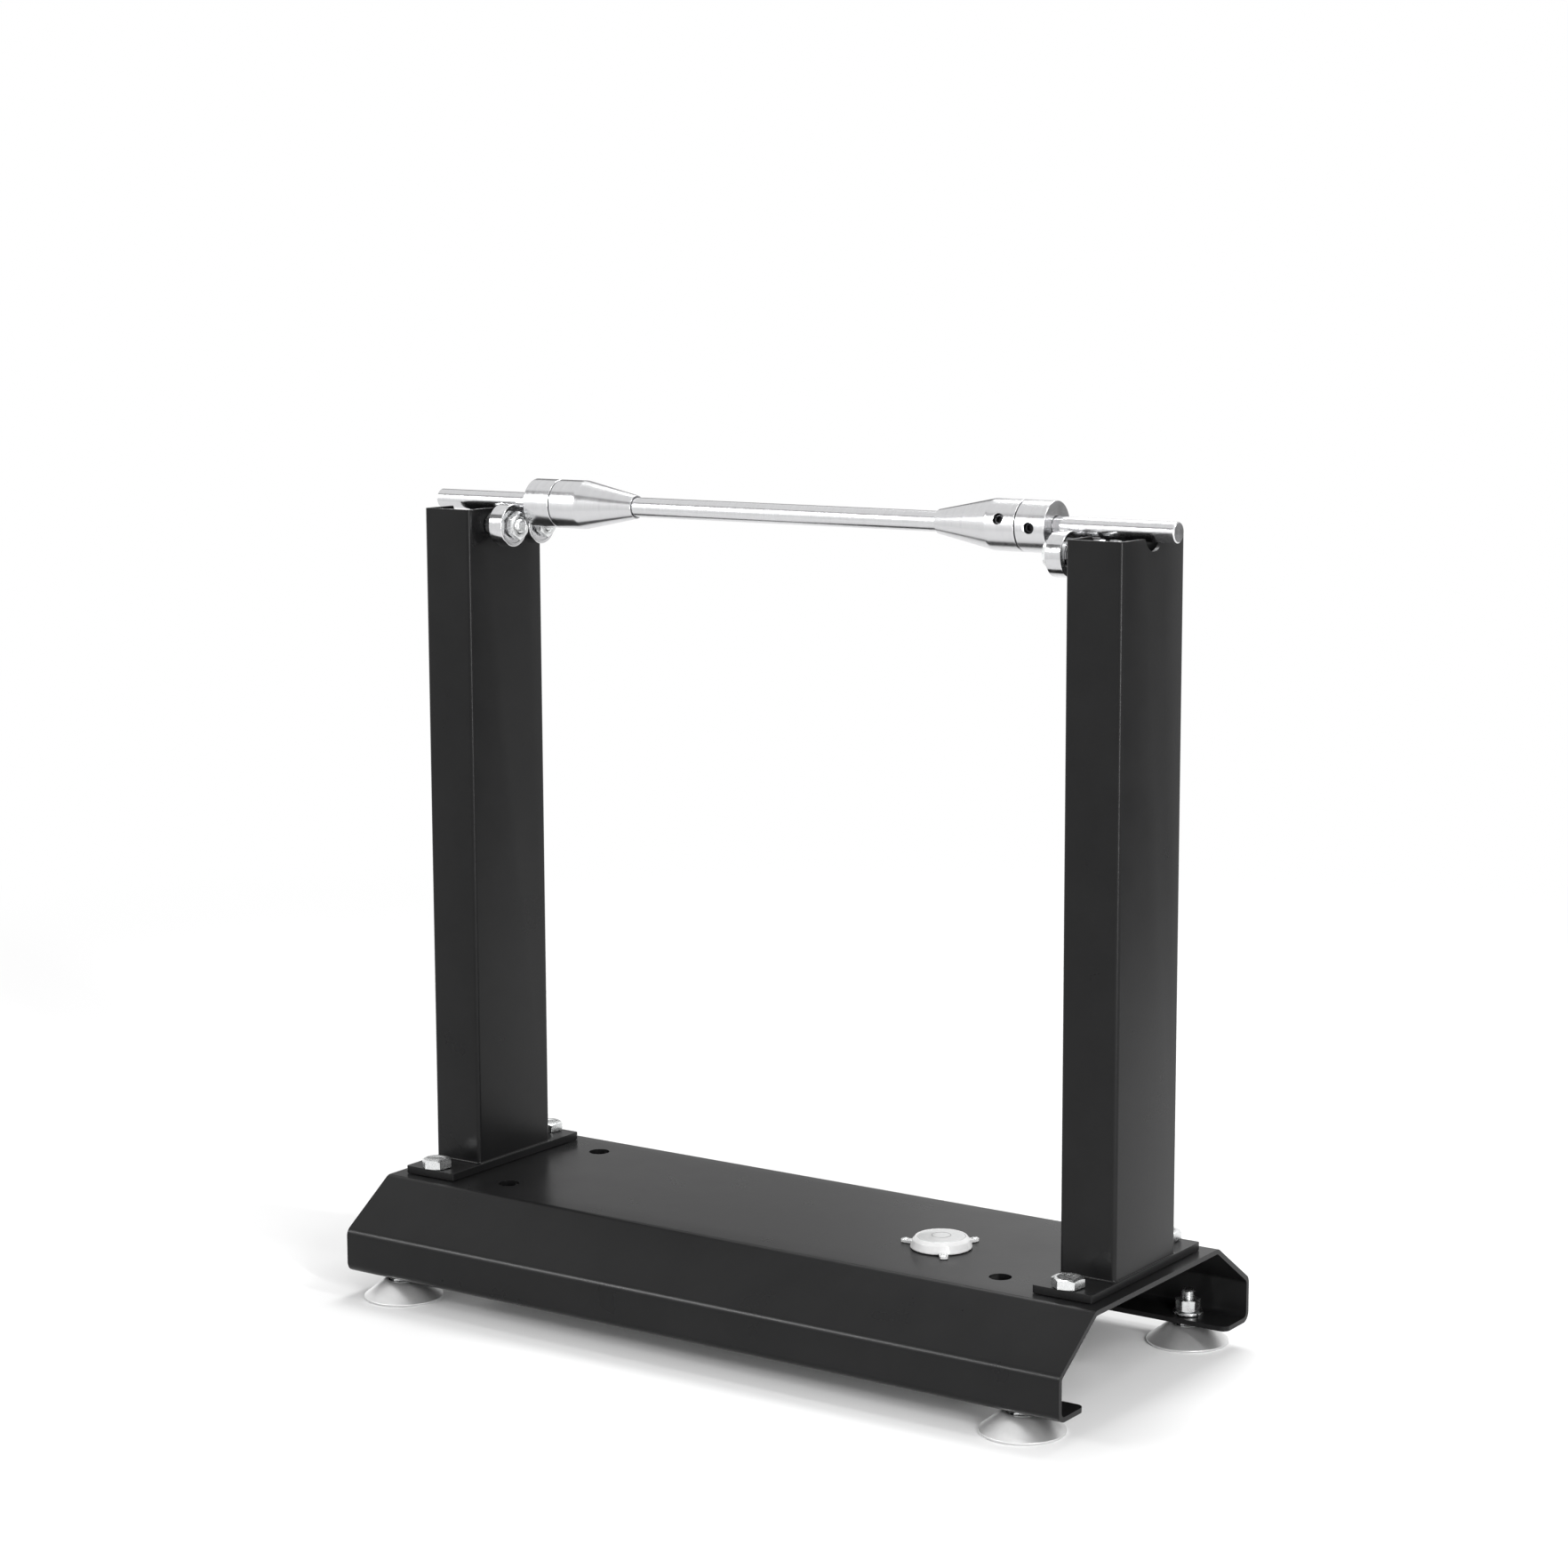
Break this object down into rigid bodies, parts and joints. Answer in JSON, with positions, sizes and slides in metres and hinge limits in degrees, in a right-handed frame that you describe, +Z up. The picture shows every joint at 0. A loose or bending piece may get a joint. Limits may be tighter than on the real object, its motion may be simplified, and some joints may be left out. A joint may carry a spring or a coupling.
{
  "type": "motorcycle wheel balancer",
  "caption": "Bench stand that carries a wheel's axle shaft on open ball bearings, with centring cones, collars, levelling feet and a round spirit level.",
  "frame": {"origin": "on the surface that the feet stand on, below the middle of the base", "axes": "+X along the base and the shaft, to the right seen from the front; +Y to the rear; +Z up"},
  "size_m": [0.44, 0.2032, 0.4248],
  "materials": {
    "black_coat": "satin black powder coat",
    "turned_steel": "turned bright steel",
    "bearing_steel": "ground and polished bearing steel",
    "zinc_plate": "bright zinc plate",
    "black_oxide": "blackened steel",
    "spun_steel": "satin steel turned in fine circles",
    "clear_plastic": "clear moulded acrylic"
  },
  "bodies": {
    "frame": {"base_channel": "black_coat", "left_upright_tube": "black_coat", "left_flange_plate": "black_coat", "right_upright_tube": "black_coat", "right_flange_plate": "black_coat", "left_front_flange_bolt": "zinc_plate", "left_front_flange_nut": "zinc_plate", "left_front_bearing_inner_ring": "bearing_steel", "left_front_bearing_spacer": "zinc_plate", "left_front_bearing_bolt": "zinc_plate", "left_front_bearing_nut": "zinc_plate", "left_front_foot_lock_nut": "zinc_plate", "left_rear_flange_bolt": "zinc_plate", "left_rear_flange_nut": "zinc_plate", "left_rear_bearing_inner_ring": "bearing_steel", "left_rear_bearing_spacer": "zinc_plate", "left_rear_bearing_bolt": "zinc_plate", "left_rear_bearing_nut": "zinc_plate", "left_rear_foot_lock_nut": "zinc_plate", "right_front_flange_bolt": "zinc_plate", "right_front_flange_nut": "zinc_plate", "right_front_bearing_inner_ring": "bearing_steel", "right_front_bearing_spacer": "zinc_plate", "right_front_bearing_bolt": "zinc_plate", "right_front_bearing_nut": "zinc_plate", "right_front_foot_lock_nut": "zinc_plate", "right_rear_flange_bolt": "zinc_plate", "right_rear_flange_nut": "zinc_plate", "right_rear_bearing_inner_ring": "bearing_steel", "right_rear_bearing_spacer": "zinc_plate", "right_rear_bearing_bolt": "zinc_plate", "right_rear_bearing_nut": "zinc_plate", "right_rear_foot_lock_nut": "zinc_plate", "level_body": "clear_plastic", "level_lens": "clear_plastic"},
    "shaft": {"shaft": "turned_steel"},
    "left_cone": {"left_cone": "turned_steel"},
    "left_collar": {"left_collar": "turned_steel"},
    "right_cone": {"right_cone": "turned_steel"},
    "right_collar": {"right_collar": "turned_steel"},
    "left_cone_set_screw": {"left_cone_set_screw": "black_oxide"},
    "left_collar_set_screw": {"left_collar_set_screw": "black_oxide"},
    "right_cone_set_screw": {"right_cone_set_screw": "black_oxide"},
    "right_collar_set_screw": {"right_collar_set_screw": "black_oxide"},
    "left_front_bearing_outer_ring": {"left_front_bearing_outer_ring": "bearing_steel"},
    "left_front_bearing_ball_cage": {"left_front_bearing_ball_cage": "bearing_steel"},
    "left_rear_bearing_outer_ring": {"left_rear_bearing_outer_ring": "bearing_steel"},
    "left_rear_bearing_ball_cage": {"left_rear_bearing_ball_cage": "bearing_steel"},
    "right_front_bearing_outer_ring": {"right_front_bearing_outer_ring": "bearing_steel"},
    "right_front_bearing_ball_cage": {"right_front_bearing_ball_cage": "bearing_steel"},
    "right_rear_bearing_outer_ring": {"right_rear_bearing_outer_ring": "bearing_steel"},
    "right_rear_bearing_ball_cage": {"right_rear_bearing_ball_cage": "bearing_steel"},
    "left_front_foot_stud": {"left_front_foot_stud": "zinc_plate"},
    "left_front_foot_pad": {"left_front_foot_pad": "spun_steel"},
    "left_rear_foot_stud": {"left_rear_foot_stud": "zinc_plate"},
    "left_rear_foot_pad": {"left_rear_foot_pad": "spun_steel"},
    "right_front_foot_stud": {"right_front_foot_stud": "zinc_plate"},
    "right_front_foot_pad": {"right_front_foot_pad": "spun_steel"},
    "right_rear_foot_stud": {"right_rear_foot_stud": "zinc_plate"},
    "right_rear_foot_pad": {"right_rear_foot_pad": "spun_steel"}
  },
  "joints": [
    {"name": "shaft_spin", "type": "hinge", "parent": "frame", "child": "shaft", "pos_m": [0, 0, 0.41225], "axis": [1, 0, 0], "continuous": true},
    {"name": "left_cone_slide", "type": "slide", "parent": "shaft", "child": "left_cone", "axis": [1, 0, 0], "range_m": [0, 0.085]},
    {"name": "left_collar_slide", "type": "slide", "parent": "shaft", "child": "left_collar", "axis": [1, 0, 0], "range_m": [0, 0.085]},
    {"name": "right_cone_slide", "type": "slide", "parent": "shaft", "child": "right_cone", "axis": [-1, 0, 0], "range_m": [0, 0.085]},
    {"name": "right_collar_slide", "type": "slide", "parent": "shaft", "child": "right_collar", "axis": [-1, 0, 0], "range_m": [0, 0.085]},
    {"name": "left_cone_set_screw_slide", "type": "slide", "parent": "left_cone", "child": "left_cone_set_screw", "axis": [0, 0.9563, -0.2924], "range_m": [0, 0.002]},
    {"name": "left_collar_set_screw_slide", "type": "slide", "parent": "left_collar", "child": "left_collar_set_screw", "axis": [0, 0.9998, 0.0175], "range_m": [0, 0.002]},
    {"name": "right_cone_set_screw_slide", "type": "slide", "parent": "right_cone", "child": "right_cone_set_screw", "axis": [0, -0.9563, 0.2924], "range_m": [0, 0.002]},
    {"name": "right_collar_set_screw_slide", "type": "slide", "parent": "right_collar", "child": "right_collar_set_screw", "axis": [0, -0.9998, -0.0175], "range_m": [0, 0.002]},
    {"name": "left_front_bearing_outer_ring_spin", "type": "hinge", "parent": "frame", "child": "left_front_bearing_outer_ring", "pos_m": [0, -0.0116, 0.4008], "axis": [1, 0, 0], "continuous": true},
    {"name": "left_front_bearing_ball_cage_spin", "type": "hinge", "parent": "frame", "child": "left_front_bearing_ball_cage", "pos_m": [0, -0.0116, 0.4008], "axis": [1, 0, 0], "continuous": true},
    {"name": "left_rear_bearing_outer_ring_spin", "type": "hinge", "parent": "frame", "child": "left_rear_bearing_outer_ring", "pos_m": [0, 0.0116, 0.4008], "axis": [1, 0, 0], "continuous": true},
    {"name": "left_rear_bearing_ball_cage_spin", "type": "hinge", "parent": "frame", "child": "left_rear_bearing_ball_cage", "pos_m": [0, 0.0116, 0.4008], "axis": [1, 0, 0], "continuous": true},
    {"name": "right_front_bearing_outer_ring_spin", "type": "hinge", "parent": "frame", "child": "right_front_bearing_outer_ring", "pos_m": [0, -0.0116, 0.4008], "axis": [1, 0, 0], "continuous": true},
    {"name": "right_front_bearing_ball_cage_spin", "type": "hinge", "parent": "frame", "child": "right_front_bearing_ball_cage", "pos_m": [0, -0.0116, 0.4008], "axis": [1, 0, 0], "continuous": true},
    {"name": "right_rear_bearing_outer_ring_spin", "type": "hinge", "parent": "frame", "child": "right_rear_bearing_outer_ring", "pos_m": [0, 0.0116, 0.4008], "axis": [1, 0, 0], "continuous": true},
    {"name": "right_rear_bearing_ball_cage_spin", "type": "hinge", "parent": "frame", "child": "right_rear_bearing_ball_cage", "pos_m": [0, 0.0116, 0.4008], "axis": [1, 0, 0], "continuous": true},
    {"name": "left_front_foot_adjust", "type": "slide", "parent": "frame", "child": "left_front_foot_stud", "axis": [0, 0, -1], "range_m": [0, 0.01]},
    {"name": "left_front_foot_swivel", "type": "hinge", "parent": "left_front_foot_stud", "child": "left_front_foot_pad", "pos_m": [-0.188, -0.081, 0], "axis": [0, 0, 1], "continuous": true},
    {"name": "left_rear_foot_adjust", "type": "slide", "parent": "frame", "child": "left_rear_foot_stud", "axis": [0, 0, -1], "range_m": [0, 0.01]},
    {"name": "left_rear_foot_swivel", "type": "hinge", "parent": "left_rear_foot_stud", "child": "left_rear_foot_pad", "pos_m": [-0.188, 0.081, 0], "axis": [0, 0, 1], "continuous": true},
    {"name": "right_front_foot_adjust", "type": "slide", "parent": "frame", "child": "right_front_foot_stud", "axis": [0, 0, -1], "range_m": [0, 0.01]},
    {"name": "right_front_foot_swivel", "type": "hinge", "parent": "right_front_foot_stud", "child": "right_front_foot_pad", "pos_m": [0.188, -0.081, 0], "axis": [0, 0, 1], "continuous": true},
    {"name": "right_rear_foot_adjust", "type": "slide", "parent": "frame", "child": "right_rear_foot_stud", "axis": [0, 0, -1], "range_m": [0, 0.01]},
    {"name": "right_rear_foot_swivel", "type": "hinge", "parent": "right_rear_foot_stud", "child": "right_rear_foot_pad", "pos_m": [0.188, 0.081, 0], "axis": [0, 0, 1], "continuous": true}
  ],
  "couplings": [
    {"joint": "left_collar_slide", "follows": "left_cone_slide", "ratio": 1},
    {"joint": "right_collar_slide", "follows": "right_cone_slide", "ratio": 1},
    {"joint": "left_front_bearing_outer_ring_spin", "follows": "shaft_spin", "ratio": -0.45454},
    {"joint": "left_front_bearing_ball_cage_spin", "follows": "shaft_spin", "ratio": -0.27828},
    {"joint": "left_rear_bearing_outer_ring_spin", "follows": "shaft_spin", "ratio": -0.45454},
    {"joint": "left_rear_bearing_ball_cage_spin", "follows": "shaft_spin", "ratio": -0.27828},
    {"joint": "right_front_bearing_outer_ring_spin", "follows": "shaft_spin", "ratio": -0.45454},
    {"joint": "right_front_bearing_ball_cage_spin", "follows": "shaft_spin", "ratio": -0.27828},
    {"joint": "right_rear_bearing_outer_ring_spin", "follows": "shaft_spin", "ratio": -0.45454},
    {"joint": "right_rear_bearing_ball_cage_spin", "follows": "shaft_spin", "ratio": -0.27828}
  ]
}
